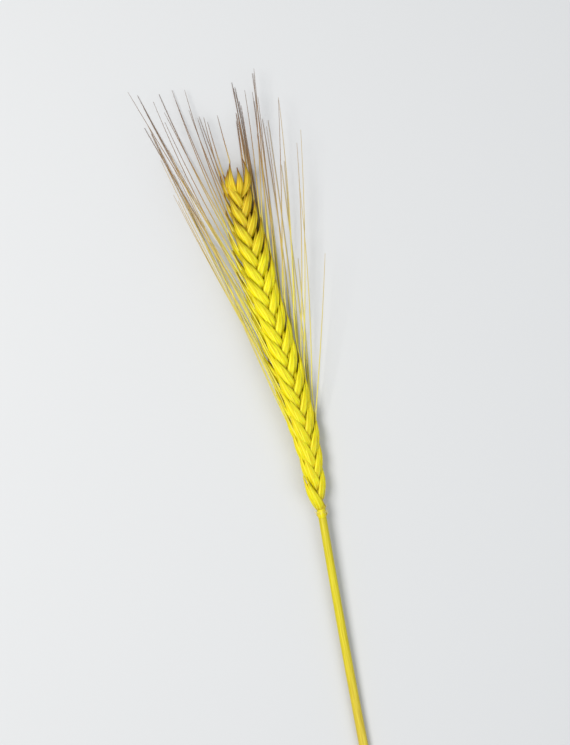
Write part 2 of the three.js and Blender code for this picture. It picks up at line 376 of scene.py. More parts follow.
def glume_section(side):
    """Once round a glume: over its back, which rises to a keel like a roof, then back along the inside."""
    angle = np.linspace(-MARGIN_ANGLE, MARGIN_ANGLE, GLUME_BACK)
    from_keel = angle + KEEL_ANGLE * side
    roof = KEEL_HEIGHT * np.exp(-np.abs(from_keel) / KEEL_WIDTH)
    fading = np.exp(-((angle / GLUME_NERVES_END) ** 4))
    nerves = GLUME_NERVE_HEIGHT * np.cos(GLUME_NERVES * from_keel) * fading
    outer = np.stack([np.sin(angle) * (1 + nerves), np.cos(angle) * (1 + nerves) + roof])
    inner = np.stack([np.sin(angle), np.cos(angle)])[:, ::-1] * SHELL_INSIDE
    around = np.concatenate([from_keel, from_keel[::-1] * INSIDE_AROUND])
    return np.concatenate([outer, inner], axis=1), around


print("points once round a glume:", len(glume_section(1)[1]))

# %% Glume shells
GLUME_ROWS = 26
ROWS_CROWD_TO_TIP = 0.92
GLUME_LINE = [(-1.2, 0.4, -0.4), (3.6, 3.6, 1.4), (10.6, 2.4, 1.9)]
GLUME_KEYS = {1: 1, -1: 2}
LEFT_GLUME_WIDTH = 1.7
RIGHT_GLUME_WIDTH = 2.1
GLUME_THICKNESS = 0.9
GLUME_THINNEST = 0.05
GLUME_FACES_OUT = 0.45
GLUME_TURN_VARIES = 0.12
TOP_BEAKS = 1.1
TOP_BEAKS_OVER = (16, 28)
LOWEST_BEAKS = 1.7
GLUME_OUTLINE = [
    (0, 0.5), (0.06, 0.88), (0.16, 1.0), (0.3, 0.98),
    (0.52, 0.82), (0.72, 0.52), (0.87, 0.22), (1, 0.03),
]


def glume(spikelet, side):
    """The rings of one glume, with how far along and around it they lie."""
    number, key = spikelet.number, GLUME_KEYS[side]
    root, bend, (a, b, c) = on_side(GLUME_LINE, side)
    beak = TOP_BEAKS * smooth_step(number, *TOP_BEAKS_OVER) + LOWEST_BEAKS * (number == 0)
    curve = spikelet.curve([root, bend, (a, b, c + beak)], key)
    faces_out = GLUME_FACES_OUT + GLUME_TURN_VARIES * draw(number, "glume turn", key)
    thick_way = unit(side * spikelet.broad + faces_out * spikelet.outward)
    shares = np.linspace(0, 1, GLUME_ROWS) ** ROWS_CROWD_TO_TIP
    fullness = np.maximum(outline(GLUME_OUTLINE, shares), GLUME_THINNEST) * spikelet.size
    width = (LEFT_GLUME_WIDTH if spikelet.left_row else RIGHT_GLUME_WIDTH) * fullness
    section, around = glume_section(side)
    rings = husk_rings(curve, thick_way, shares, width, GLUME_THICKNESS * fullness, section)
    return rings, shares, around


glumes = add_tubes("glumes", *grow([(s, side) for s in spikelets for side in (1, -1)], glume))

# %% [markdown]
# ## Lemmas
# The lemma is the husk over a floret's back, and each spikelet has three florets. It is fuller and rounder
# than a glume, with five to seven faint nerves, and it draws out at the top into the awn. It closes over
# the grain, so a closed spindle with ridges for its nerves is enough, and the tip stops at the thickness
# of the awn that carries on from it.

# %% Line and section of a lemma
SIDE_FLORET = [(-0.4, 0.4, -0.2), (5, 3.1, 3), (13.6, 1.7, 2.9)]
MIDDLE_FLORET = [(0, 0, -0.1), (5.6, 0, 4.6), (14, 0, 3.7)]
LAST_MIDDLE_SHARE = 0.74
FLORET_KEY = 4
LEMMA_SIDES = 28
NERVES = 7
NERVE_HEIGHT = 0.035
NERVES_END = 2.2
CREASE_ANGLE = 2.1
CREASE_DEPTH = 0.16
CREASE_WIDTH = 0.3
RIDGE_HEIGHT = 0.14
RIDGE_WIDTH = 0.3


def floret_curve(spikelet, side):
    """The middle line of a floret. The last spikelet's middle one is shorter than those beside it."""
    if side:
        return spikelet.curve(on_side(SIDE_FLORET, side), FLORET_KEY + side)
    share = LAST_MIDDLE_SHARE if spikelet.last else 1
    points = [tuple(share * value for value in point) for point in MIDDLE_FLORET]
    return spikelet.curve(points, FLORET_KEY)


def lemma_section():
    """Once round a lemma: nerves over its back, a ridge in the middle and a crease at each margin."""
    turn = np.linspace(-math.pi, math.pi, LEMMA_SIDES, endpoint=False)
    nerves = 1 + NERVE_HEIGHT * np.cos(NERVES * turn) * np.exp(-((turn / NERVES_END) ** 6))
    crease = 1 - CREASE_DEPTH * np.exp(-(((np.abs(turn) - CREASE_ANGLE) / CREASE_WIDTH) ** 2))
    ridge = RIDGE_HEIGHT * np.exp(-np.abs(turn) / RIDGE_WIDTH)
    return np.stack([np.sin(turn) * nerves * crease, np.cos(turn) * nerves * crease + ridge]), turn


print("the first floret's middle line in mm:", floret_curve(spikelets[0], 1).round(1).tolist())

# %% Lemmas
LEMMA_ROWS = 26
LEMMA_WIDTH = 1.55
LEMMA_THICKNESS = 1.12
LEMMA_FACES_OUT = 0.8
LEMMA_SIZE_VARIES = 0.05
LEMMA_OUTLINE = [
    (0, 0.5), (0.06, 0.8), (0.16, 0.97), (0.32, 1.0), (0.52, 0.86),
    (0.7, 0.56), (0.85, 0.28), (0.94, 0.16), (1, 0.12),
]


def lemma(spikelet, side):
    """The rings of one lemma, with how far along and around it they lie."""
    shares = np.linspace(0, 1, LEMMA_ROWS)
    section, turn = lemma_section()
    own_size = 1 + LEMMA_SIZE_VARIES * draw(spikelet.number, "lemma size", side)
    fullness = outline(LEMMA_OUTLINE, shares) * spikelet.size * own_size
    thick_way = unit(side * spikelet.broad + LEMMA_FACES_OUT * spikelet.outward)
    width, thickness = LEMMA_WIDTH * fullness, LEMMA_THICKNESS * fullness
    rings = husk_rings(floret_curve(spikelet, side), thick_way, shares, width, thickness, section)
    return rings, shares, turn


lemmas = add_tubes("lemmas", *grow([(s, side) for s in spikelets for side in (1, -1, 0)], lemma))

# %% [markdown]
# ## Paleas
# Each floret has a second husk on its inside, the palea, which closes it towards the axis. Only its back
# shows, deep in the gaps beside the axis. Most of them would be hidden, so there is one slim spindle low on
# each side of a spikelet.

# %% Paleas
PALEA_ROWS = 12
PALEA_SIDES = 14
PALEA_LINE = [(-0.8, 0.5, -0.4), (3.4, 2.9, 0.3), (9.2, 1.6, 0.9)]
PALEA_KEY = 9
PALEA_WIDTH = 1.25
PALEA_THICKNESS = 0.9
PALEA_FACES_IN = 0.2
FOLD_DEPTH = 0.1
FOLD_WIDTH = 0.35


def palea(spikelet, side):
    """The rings of one palea, with how far along and around it they lie."""
    shares = np.linspace(0, 1, PALEA_ROWS)
    turn = np.linspace(-math.pi, math.pi, PALEA_SIDES, endpoint=False)
    curve = spikelet.curve(on_side(PALEA_LINE, side), PALEA_KEY + side)
    fullness = outline(LEMMA_OUTLINE, shares) * spikelet.size
    thick_way = unit(side * spikelet.broad - PALEA_FACES_IN * spikelet.outward)
    fold = 1 - FOLD_DEPTH * np.exp(-((turn / FOLD_WIDTH) ** 2))
    section = np.stack([np.sin(turn) * fold, np.cos(turn) * fold])
    width, thickness = PALEA_WIDTH * fullness, PALEA_THICKNESS * fullness
    rings = husk_rings(curve, thick_way, shares, width, thickness, section)
    return rings, shares, turn


paleas = add_tubes("paleas", *grow([(s, side) for s in spikelets[:-1] for side in (1, -1)], palea))

# %% [markdown]
# ## Rachis
# The axis itself hardly shows, but between the husks one sees into it. A plain core would look like a
# stick there, so it is a strap with a swollen node under each spikelet, stepping away from each in turn.

# %% Rachis
RACHIS_SIDES = 12
RACHIS_START = 0.3
ROWS_A_NODE = 12
RACHIS_RADIUS = 2.3
RACHIS_RADIUS_ACROSS = 2.4
NODE_SWELLS = 0.16
NODE_REACH = 0.2
RACHIS_LOW = 0.5
RACHIS_GAIN = 0.5
RACHIS_GAINED_OVER = (0, 30)
RACHIS_TAPER = 0.4


def rachis_rings():
    """The rings of the rachis, with how high up the ear and how far around they lie."""
    ts = np.linspace(RACHIS_START, RACHIS_TOP, ROWS_A_NODE * SPIKELETS)
    _, row, across = axis_frame(ts)
    joint = (ts - FIRST_NODE) / INTERNODE
    step = RACHIS_ZIGZAG * np.sin(math.pi * (joint - 0.5))
    from_node = np.abs((joint + 0.5) % 1 - 0.5)
    swell = 1 + NODE_SWELLS * np.exp(-((from_node / NODE_REACH) ** 2))
    grown = RACHIS_LOW + RACHIS_GAIN * smooth_step(ts, *RACHIS_GAINED_OVER)
    taper = grown - RACHIS_TAPER * ts / RACHIS_TOP
    turn = np.linspace(0, 2 * math.pi, RACHIS_SIDES, endpoint=False)
    ring = circles(turn, row, across, RACHIS_RADIUS, RACHIS_RADIUS_ACROSS)
    middle = axis_point(ts) + step[:, None] * row
    return middle[:, None, :] + (swell * taper)[:, None, None] * ring, ts / EAR_LENGTH, turn


rachis_points, rachis_height, rachis_turn = rachis_rings()
# The along of 0.2 gives the rachis the husk finish's painted olive root shade.
rachis_values = {"along": 0.2, "around": rachis_turn, "height": rachis_height[None, :, None], "own": 0.0}
rachis = add_tubes("rachis", rachis_points[None], rachis_values)

# %% [markdown]
# ## Awns
# An awn is a stiff bristle that carries on from its lemma. It leaves along the husk, turns outwards in its
# first fifth and then runs almost straight, and the lowest ones come to lie on the surface. Hair curves
# would be easy, but they don't export, so each awn is a thin tapering tube. All are a trace shorter than the
# plain ones, so that none passes the ends of the solid part.

# %% Awn paths
AWN_REACH = 148
AWN_ROOM_TAKEN = 11.5
AWN_LONGEST = 84
AWN_SHARE = 0.997
AWN_MEAN = 0.92
AWN_VARIES = 0.12
LOW_AWNS = 0.6
LOW_AWNS_GAIN = 0.1
TOP_AWNS_LOSE = 0.45
TOP_AWNS_OVER = (SPIKELETS - 7, SPIKELETS)
AWN_SPREAD = 16.5
AWN_SPREAD_VARIES = 3.2
AWNS_GATHER = 0.5
GATHER_OVER = (SPIKELETS - 13, SPIKELETS)
LEFT_AWN_FANS = {1: 0, -1: -58}
RIGHT_AWN_FANS = {1: 48, -1: -30}
AWN_FAN_VARIES = 8
AWN_ROOT = 0.86
AWN_TURNED = 0.18
AWN_CURL = 0.045
AWN_CURL_VARIES = 0.6
REST_HEIGHT = 0.13
REST_EASE = 0.35


def awn_length(spikelet, side):
    """How long an awn is: short on the lowest and the last spikelets, and within the reach of the ear."""
    number = spikelet.number
    room = AWN_REACH - spikelet.t - AWN_ROOM_TAKEN * spikelet.size
    foot = min(LOW_AWNS + LOW_AWNS_GAIN * number, 1)
    top = 1 - TOP_AWNS_LOSE * smooth_step(number, *TOP_AWNS_OVER)
    own_length = AWN_MEAN + AWN_VARIES * draw(number, "awn length", side)
    return AWN_SHARE * min(AWN_LONGEST, room) * foot * top * own_length


def awn_radial(spikelet, side):
    """The way in which an awn stands off the axis."""
    fans = LEFT_AWN_FANS if spikelet.left_row else RIGHT_AWN_FANS
    fan = math.radians(fans[side] + AWN_FAN_VARIES * draw(spikelet.number, "awn fan", side))
    return math.cos(fan) * spikelet.row_way + math.sin(fan) * spikelet.broad


def awn_path(spikelet, side, shares):
    """Points along an awn, eased up where they would pass below the surface."""
    number = spikelet.number
    start, _ = bend_along(floret_curve(spikelet, side), [AWN_ROOT])
    _, leaves = bend_along(floret_curve(spikelet, side), [1.0])
    gathered = AWN_SPREAD * (1 - AWNS_GATHER * smooth_step(number, *GATHER_OVER))
    spread = math.radians(gathered + AWN_SPREAD_VARIES * draw(number, "awn spread", side))
    radial = awn_radial(spikelet, side)
    bearing = math.cos(spread) * spikelet.along + math.sin(spread) * radial
    early = np.minimum(shares, AWN_TURNED)
    blend = (early - early**2 / (2 * AWN_TURNED))[:, None]
    curl = -AWN_CURL * (1 + AWN_CURL_VARIES * draw(number, "awn curl", side)) * shares[:, None] ** 2
    run = blend * leaves + (shares[:, None] - blend) * bearing + curl * radial
    points = start + awn_length(spikelet, side) * run
    points[:, 2] = REST_HEIGHT + REST_EASE * np.logaddexp(0, (points[:, 2] - REST_HEIGHT) / REST_EASE)
    return points


awned = [(s, side) for s in spikelets for side in (1, -1) if s.number >= 2]
print("awns:", len(awned), "longest", round(max(awn_length(*place) for place in awned), 1), "mm")

# %% [markdown]
# ## Awn tubes
# Along its path an awn needs no more than six sides, because it is less than half a millimetre thick. A
# real one keeps its thickness and then runs out to a point, so the taper is slow at first.

# %% Awn tubes
AWN_ROWS = 22
AWN_SIDES = 6
ROWS_CROWD_TO_ROOT = 1.1
AWN_BASE_RADIUS = 0.21
AWN_TIP_RADIUS = 0.05
AWN_TAPER = 0.8


def awn_radius(shares):
    """The radius of an awn along its length."""
    return AWN_TIP_RADIUS + (AWN_BASE_RADIUS - AWN_TIP_RADIUS) * (1 - shares) ** AWN_TAPER


def awn(spikelet, side):
    """The rings of one awn, with how far along and around it they lie."""
    shares = np.linspace(0, 1, AWN_ROWS) ** ROWS_CROWD_TO_ROOT
    path = awn_path(spikelet, side, shares)
    ways = unit(np.gradient(path, axis=0))
    wide = unit(np.cross(ways, spikelet.outward))
    turn = np.linspace(0, 2 * math.pi, AWN_SIDES, endpoint=False)
    ring = circles(turn, wide, np.cross(wide, ways))
    return path[:, None, :] + awn_radius(shares)[:, None, None] * ring, shares, turn


awns = add_tubes("awns", *grow(awned, awn))

# %% [markdown]
# ## Barbs
# An awn is rough to the finger in one direction: it has rows of tiny teeth that point to its tip. A bump
# texture would be lost on so thin a tube, and the teeth break its outline, so each is a small wedge.

# %% Barbs of the awns
BARBS_AN_AWN = 56
BARBS_START = 0.1
BARBS_SPAN = 0.86
BARB_LENGTH = 0.55
BARB_RADIUS = 0.05
BARB_STANDS = 0.1
BARB_ROOT = 0.6
BARB_FOOT = 0.3
BARB_POINT = 0.01
ROWS_OF_BARBS = 3
BARB_WANDER = 0.3


def barbs(spikelet, side):
    """Small teeth in three wandering rows along an awn, each pointing to its tip."""
    numbers = np.arange(BARBS_AN_AWN)
    shares = BARBS_START + BARBS_SPAN * (numbers + 0.5) / BARBS_AN_AWN
    path = awn_path(spikelet, side, shares)
    ways = unit(awn_path(spikelet, side, shares + 0.01) - path)
    wide = unit(np.cross(ways, spikelet.outward))
    thick = np.cross(wide, ways)
    turn = numbers * 2 * math.pi / ROWS_OF_BARBS + BARB_WANDER * np.sin(numbers * 5.0)
    out = np.cos(turn)[:, None] * wide + np.sin(turn)[:, None] * thick
    radius = awn_radius(shares)[:, None]
    root = path + BARB_ROOT * radius * out
    tip = path + (radius + BARB_STANDS) * out + BARB_LENGTH * ways
    half_foot = BARB_RADIUS * np.cross(ways, out)
    feet = np.stack([root - half_foot, root + half_foot, root + BARB_FOOT * ways], axis=1)
    tips = np.stack([tip - BARB_POINT * wide, tip + BARB_POINT * wide, tip], axis=1)
    return np.stack([feet, tips], axis=1), shares


barb_parts = [barbs(spikelet, side) for spikelet, side in awned]
barb_values = {
    "along": np.concatenate([shares for _, shares in barb_parts])[:, None, None],
    "height": np.repeat([spikelet.height for spikelet, _ in awned], BARBS_AN_AWN)[:, None, None],
    "around": 0.0,
    "own": 0.0,
}
barb_teeth = np.concatenate([teeth for teeth, _ in barb_parts])
awn_barbs = add_tubes("awn_barbs", barb_teeth, barb_values, smooth=False)

# %% [markdown]
# ## Straw
# The straw is a smooth culm, a little tapered, with fine ribs along it and a bore that shows at its cut
# end. A cylinder bent by a modifier would do, but the axis already gives the bend, so it is built of rings
# as well: out of the blind end of the bore, over the cut rim and up the outside.

# %% Straw
STRAW_ROWS = 90
STRAW_SIDES = 32
BORE_ROWS = 10
RIBS = 16
RIB_HEIGHT = 0.012


def straw_rings(ts, radii):
    """Ribbed rings of the given radii around the axis."""
    _, row, across = axis_frame(ts)
    turn = np.linspace(0, 2 * math.pi, STRAW_SIDES, endpoint=False)
    ribs = 1 + RIB_HEIGHT * np.cos(RIBS * turn)
    ring = circles(turn, row, across)
    return axis_point(ts)[:, None, :] + (radii[:, None] * ribs)[..., None] * ring, turn


outer_t = np.linspace(-JOINT_GAP, -STRAW_LENGTH, STRAW_ROWS)
outer_radius = STRAW_RADIUS_CUT + (STRAW_RADIUS_TOP - STRAW_RADIUS_CUT) * (1 + outer_t / STRAW_LENGTH)
bore_t = np.linspace(-STRAW_LENGTH, STRAW_BORE_DEPTH - STRAW_LENGTH, BORE_ROWS)
straw_t = np.concatenate([outer_t, bore_t])
straw_radius = np.concatenate([outer_radius, np.full(BORE_ROWS, STRAW_BORE)])
straw_points, straw_turn = straw_rings(straw_t, straw_radius)
straw_along = (1 + straw_t / STRAW_LENGTH)[None, ::-1, None]
straw_values = {"along": straw_along, "around": straw_turn, "height": 0.0, "own": 0.0}
straw = add_tubes("straw", straw_points[None, ::-1], straw_values)

# %% [markdown]
# ## Collar
# Where the ear sits on the straw there is a swollen, knobbly ring. Sculpting it would be slow for something
# so small, so it is made of the straw's rings with an outline of its own, and two waves make the knobs.

# %% Collar
COLLAR_ROWS = 30
COLLAR_START = -0.7
COLLAR_END = 3.4
KNOB_HEIGHT = 0.07
COLLAR_OUTLINE = [
    (0, 1.3), (0.13, 1.5), (0.24, 1.7), (0.34, 1.52),
    (0.44, 1.6), (0.6, 1.35), (0.8, 1.2), (1, 0.9),
]

collar_t = np.linspace(COLLAR_START, COLLAR_END, COLLAR_ROWS)
collar_share = (collar_t - COLLAR_START) / (COLLAR_END - COLLAR_START)
collar_points, collar_turn = straw_rings(collar_t, outline(COLLAR_OUTLINE, collar_share))
one_way = np.sin(3 * collar_turn + 5 * collar_share[:, None])
other_way = np.sin(7 * collar_turn - 9 * collar_share[:, None])
knobs = 1 + KNOB_HEIGHT * (one_way * other_way) * np.sin(math.pi * collar_share)[:, None]
collar_middle = axis_point(collar_t)[:, None, :]
collar_points = collar_middle + (collar_points - collar_middle) * knobs[..., None]
# With the husk finish, the turn around the collar paints olive shade over most of it.
collar_values = {"along": 0.5, "around": collar_turn, "height": 0.0, "own": 0.0}
collar = add_tubes("collar", collar_points[None], collar_values)

# %% [markdown]
# ## Hairs
# Short pale hairs stand around the collar and at the nodes of the rachis. They are too few to need a hair
# system, which the export would drop, so each is a bent three-sided tube with its root inside the surface.

# %% Hairs of the collar and the rachis
HAIR_RADIUS = 0.035
HAIR_ROWS = 4
HAIR_SIDES = 3
COLLAR_HAIRS = 150
COLLAR_HAIRS_START = 0.1
COLLAR_HAIRS_SPAN = 1.1
COLLAR_HAIR_ROOT = 1.35
COLLAR_HAIR_LENGTH = (0.75, 0.35)
COLLAR_HAIR_DROOP = (1, 0.6)
GOLDEN_TURN = 0.618
HAIRS_A_NODE = 16
NODE_HAIR_PLACE = (-0.4, 0.5)
NODE_HAIR_ROOT = 1.5
NODE_HAIR_LENGTH = (1, 0.4)
NODE_HAIR_DROOP = 1.4


def drawn(mean_and_range, number, purpose):
    """A measure around its mean, by the draw of one hair."""
    mean, spread = mean_and_range
    return mean + spread * draw(number, purpose)


def hair(t, turn, from_middle, length, droop):
    """One hair that leaves the axis at t, at an angle around it, and bends forward along it."""
    along, row, across = axis_frame(t)
    out = math.cos(turn) * row + math.sin(turn) * across
    shares = np.linspace(0, 1, HAIR_ROWS)[:, None]
    path = axis_point(t) + from_middle * out + length * (shares * out + droop * shares**2 * along)
    side = np.cross(along, out)
    corners = np.linspace(0, 2 * math.pi, HAIR_SIDES, endpoint=False)
    ring = np.cos(corners)[:, None] * side + np.sin(corners)[:, None] * unit(along - 0.5 * out)
    return path[:, None, :] + (HAIR_RADIUS * (1.15 - shares))[:, :, None] * ring


def collar_hair(index):
    """One of the hairs that stand around the collar."""
    place = COLLAR_HAIRS_START + COLLAR_HAIRS_SPAN * abs(draw(index, "collar hair place"))
    length = drawn(COLLAR_HAIR_LENGTH, index, "collar hair length")
    droop = drawn(COLLAR_HAIR_DROOP, index, "collar hair droop")
    return hair(place, 2 * math.pi * index * GOLDEN_TURN, COLLAR_HAIR_ROOT, length, droop)


def node_hair(spikelet, index):
    """One of the hairs that stand around the node under a spikelet."""
    key = spikelet.number * HAIRS_A_NODE + index
    place = spikelet.t + NODE_HAIR_PLACE[0] + NODE_HAIR_PLACE[1] * draw(key, "node hair place")
    length = drawn(NODE_HAIR_LENGTH, key, "node hair length")
    return hair(place, 2 * math.pi * index / HAIRS_A_NODE, NODE_HAIR_ROOT, length, NODE_HAIR_DROOP)


hair_rings = [collar_hair(index) for index in range(COLLAR_HAIRS)]
hair_rings += [node_hair(s, index) for s in spikelets[:-1] for index in range(HAIRS_A_NODE)]
hair_along = np.linspace(0, 1, HAIR_ROWS)[None, :, None]
hair_values = {"along": hair_along, "around": 0.0, "height": 0.0, "own": 0.0}
hairs = add_tubes("hairs", np.array(hair_rings), hair_values)

# %% [markdown]
# ## Inputs, ramps and colours
# A node's inputs are asked for by name, a ramp is filled from a list, and colours are written as paint
# charts give them. Typing linear numbers would do, but nobody can picture a colour from those.

# %% Inputs, ramps and colours
def find_input(node, key):
    """An input by its name, with _ for a space, or as i and its number where names repeat."""
    if key[0] == "i" and key[1:].isdigit():
        return node.inputs[int(key[1:])]
    return node.inputs[key.replace("_", " ")]


def fill_ramp(ramp, stops):
    """Gives a colour ramp these stops alone."""
    while len(ramp.elements) > 1:
        ramp.elements.remove(ramp.elements[0])
    ramp.elements[0].position, ramp.elements[0].color = stops[0]
    for position, stop_colour in stops[1:]:
        ramp.elements.new(position).color = stop_colour


def colour(red, green, blue):
    """A colour as a paint chart gives it, 0 to 255, as the renderer's linear numbers."""
    shares = [level / 255 for level in (red, green, blue)]
    linear = [share / 12.92 if share <= 10 / 255 else ((share + 0.055) / 1.055) ** 2.4 for share in shares]
    return (*linear, 1.0)


print("a middle grey is", round(colour(128, 128, 128)[0], 3), "in the renderer's numbers")

# %% [markdown]
# ## A short way to write shader nodes
# Finishes are sums of masks. Nodes could be placed and linked one by one, but written as plain expressions
# they stay readable. So a small class wraps a socket: adding or multiplying two of them adds the Math node,
# and one method makes any other node.

# %% Shader helper
class Shade:
    """A node socket that takes part in sums."""

    def __init__(self, tree, socket):
        self.tree = tree
        self.socket = socket

    def feed(self, socket, value):
        """Links a socket to a value made of nodes, or sets it to a plain one."""
        if isinstance(value, Shade):
            self.tree.links.new(value.socket, socket)
        else:
            socket.default_value = value

    def node(self, kind, settings=None, **sockets):
        """A new node: its settings first, then its sockets. Gives a function that picks an output."""
        made = self.tree.nodes.new(kind)
        for key, value in (settings or {}).items():
            if key == "stops":
                fill_ramp(made.color_ramp, value)
            else:
                setattr(made, key, value)
        for key, value in sockets.items():
            self.feed(find_input(made, key), value)

        def output(which=0):
            return Shade(self.tree, made.outputs[which])

        return output

    def math(self, operation, first, second=0.0):
        """A Math node of two numbers or sockets."""
        return self.node("ShaderNodeMath", {"operation": operation}, i0=first, i1=second)()

    def __add__(self, other):
        return self.math("ADD", self, other)

    def __sub__(self, other):
        return self.math("SUBTRACT", self, other)

    def __rsub__(self, other):
        return self.math("SUBTRACT", other, self)

    def __mul__(self, other):
        return self.math("MULTIPLY", self, other)

    def __abs__(self):
        return self.math("ABSOLUTE", self)

    __radd__ = __add__
    __rmul__ = __mul__

    def clamp(self):
        """This, kept from 0 to 1."""
        return self.node("ShaderNodeClamp", None, Value=self)()

    def between(self, low, high):
        """0 at low, 1 at high and smooth between them, also where low is the larger."""
        smooth = {"interpolation_type": "SMOOTHSTEP"}
        return self.node("ShaderNodeMapRange", smooth, Value=self, From_Min=low, From_Max=high)()

    def mix(self, first, second):
        """The first colour where this is 0 and the second where it is 1."""
        return self.node("ShaderNodeMix", {"data_type": "RGBA"}, i0=self, i6=first, i7=second)(2)


# %% [markdown]
# ## From a recipe to a finish
# The finishes differ in their recipes alone: what the surface colour, the roughness and the relief are made
# of. A group of nodes could hold what they share, but one function that builds a material around a recipe
# is shorter, and it keeps every steady number on the shader's own sockets.

# %% Materials from recipes
RELIEF_DEPTH = 0.00005


def finish(name, recipe, bump=0.0, **steady):
    """A material: recipe gets the named values and gives base colour, roughness and bump height."""
    material = bpy.data.materials.new(name)
    material.use_nodes = True
    tree = material.node_tree
    shader = tree.nodes["Principled BSDF"]
    start = Shade(tree, None)

    def read(key):
        return start.node("ShaderNodeAttribute", {"attribute_name": key})("Fac")

    base, rough, height = recipe(start, read)
    start.feed(shader.inputs["Base Color"], base)
    start.feed(shader.inputs["Roughness"], rough)
    if height:
        relief = start.node("ShaderNodeBump", None, Strength=bump, Distance=RELIEF_DEPTH, Height=height)()
        start.feed(shader.inputs["Normal"], relief)
    for key, value in steady.items():
        find_input(shader, key).default_value = value
    print(f"{name}: {len(tree.nodes)} nodes")
    return material


# %% [markdown]
# ## Finish of the husks
# The dye is a strong lemon yellow, darkened low on the ear by a painted shade. Towards the tip the dried
# husk shows through as gold and amber, most at the husks' own tips. The nerves and the keel are paler, fine
# streaks run lengthwise, and olive shade is painted at the roots and margins where husks cover each other. A
# painted picture would need every husk unwrapped, so masks are made from each point's place on its husk and
# on the ear.

# %% Husk finish
LEMON = colour(244, 234, 8)
DEEP_LEMON = colour(208, 188, 0)
GOLD = colour(208, 172, 20)
AMBER = colour(118, 74, 6)
# The olive is painted shade for the husks' roots and margins.
PAINTED_SHADE_OLIVE = colour(168, 134, 0)
PALE = colour(252, 248, 84)


def husk_streaks(start, along, around, height, own):
    """Noise that is long and thin along each husk."""
    lengthwise = {"X": around * 3.0, "Y": along * 1.2 + own * 7.0, "Z": height * 40.0}
    place = start.node("ShaderNodeCombineXYZ", None, **lengthwise)()
    return start.node("ShaderNodeTexNoise", None, Vector=place, Scale=3.2, Detail=3.0)("Fac")


def husk_recipe(start, read):
    """Lemon with painted foot shade, gold to the top, amber tips, painted olive shade in the gaps, pale
    nerves.
    """
    along, around, height, own = read("along"), read("around"), read("height"), read("own")
    streaks = husk_streaks(start, along, around, height, own)
    place = start.node("ShaderNodeTexCoord")("Object")
    blotches = start.node("ShaderNodeTexNoise", None, Vector=place, Scale=260.0, Detail=2.0)("Fac")
    fresh = streaks.between(0.36, 0.62).mix(DEEP_LEMON, LEMON)
    # Painted shade: the husks are darkened towards deep lemon low on the ear.
    low = (1 - height.between(0.1, 0.45)) * 0.4
    ripe = (height.between(0.62, 0.94) + own * 0.1 + (blotches - 0.5) * 0.4).clamp()
    body = ripe.mix(low.mix(fresh, DEEP_LEMON), GOLD)
    # Painted shade: olive at each husk's root and margins, where it tucks under its neighbours.
    painted_crevice_shade = (1 - along.between(0.02, 0.3)) + abs(around).between(1.1, 1.9) * 0.8
    body = (painted_crevice_shade.clamp() * 0.75).mix(body, PAINTED_SHADE_OLIVE)
    tipped = along.between(0.42, 0.96) * (height.between(0.35, 0.92) * 0.9 + 0.1)
    body = tipped.clamp().mix(body, AMBER)
    nerved = start.math("COSINE", around * NERVES).between(0.35, 1.0)
    body = (nerved * (1 - along.between(0.7, 0.95)) * 0.35).mix(body, PALE)
    return body, 0.42 + streaks * 0.2, streaks * 0.8 + blotches * 0.5


husk_steady = {"Subsurface_Weight": 0.12, "Subsurface_Scale": 0.0008, "Specular_IOR_Level": 0.28}
husk_finish = finish("dyed husk", husk_recipe, 0.5, **husk_steady)

# %% [markdown]
# ## Finish of the awns
# An awn is yellow where it leaves its husk and dries to straw and brown towards its tip, sooner high on the
# ear. The change runs along its length alone, so one ramp of colours does it, pushed on by the height.

# %% Awn finish
AWN_STOPS = [
    (0.0, colour(230, 220, 60)),
    (0.18, colour(222, 208, 92)),
    (0.4, colour(196, 168, 84)),
    (0.68, colour(150, 114, 66)),
    (1.0, colour(112, 84, 58)),
]
AWN_ROUGHNESS = 0.45


def awn_recipe(start, read):
    """The ramp of an awn, read further on where it stands high on the ear."""
    along, own, height = read("along"), read("own"), read("height")
    dried = along * (0.34 + height.between(0.1, 0.6) * 0.8) + own * 0.1
    dried = dried + height.between(0.5, 0.95) * (1 - along) * 0.42
    base = start.node("ShaderNodeValToRGB", {"stops": AWN_STOPS}, Fac=dried.clamp())("Color")
    return base, AWN_ROUGHNESS, None


awn_finish = finish("awn bristle", awn_recipe)

# %% [markdown]
# ## Finish of the hairs
# The hairs are almost colourless and take a little dye at their roots. They are too thin to show a
# texture, so two colours are mixed along them.

# %% Hair finish
HAIR_ROOT = colour(226, 212, 70)
HAIR_TIP = colour(240, 232, 168)
HAIR_ROUGHNESS = 0.5


def hair_recipe(_, read):
    """Dyed at the root and pale at the tip."""
    return read("along").clamp().mix(HAIR_ROOT, HAIR_TIP), HAIR_ROUGHNESS, None


hair_finish = finish("pale hair", hair_recipe)

# %% [markdown]
# ## Finish of the straw
# The straw is smooth and a little polished. It is lemon under the ear and warmer and paler lower down,
# with fine pale and dark streaks along it. One flat colour would look like plastic, so a ramp runs down
# its length and a stretched noise draws the streaks, which also give it a low relief.

# %% Straw finish
STRAW_STOPS = [
    (0.0, colour(196, 170, 60)),
    (0.3, colour(200, 178, 40)),
    (0.55, colour(200, 184, 14)),
    (0.75, colour(202, 188, 6)),
    (1.0, colour(194, 178, 4)),
]
PALE_STREAK = colour(236, 222, 70)
DARK_STREAK = colour(156, 128, 6)


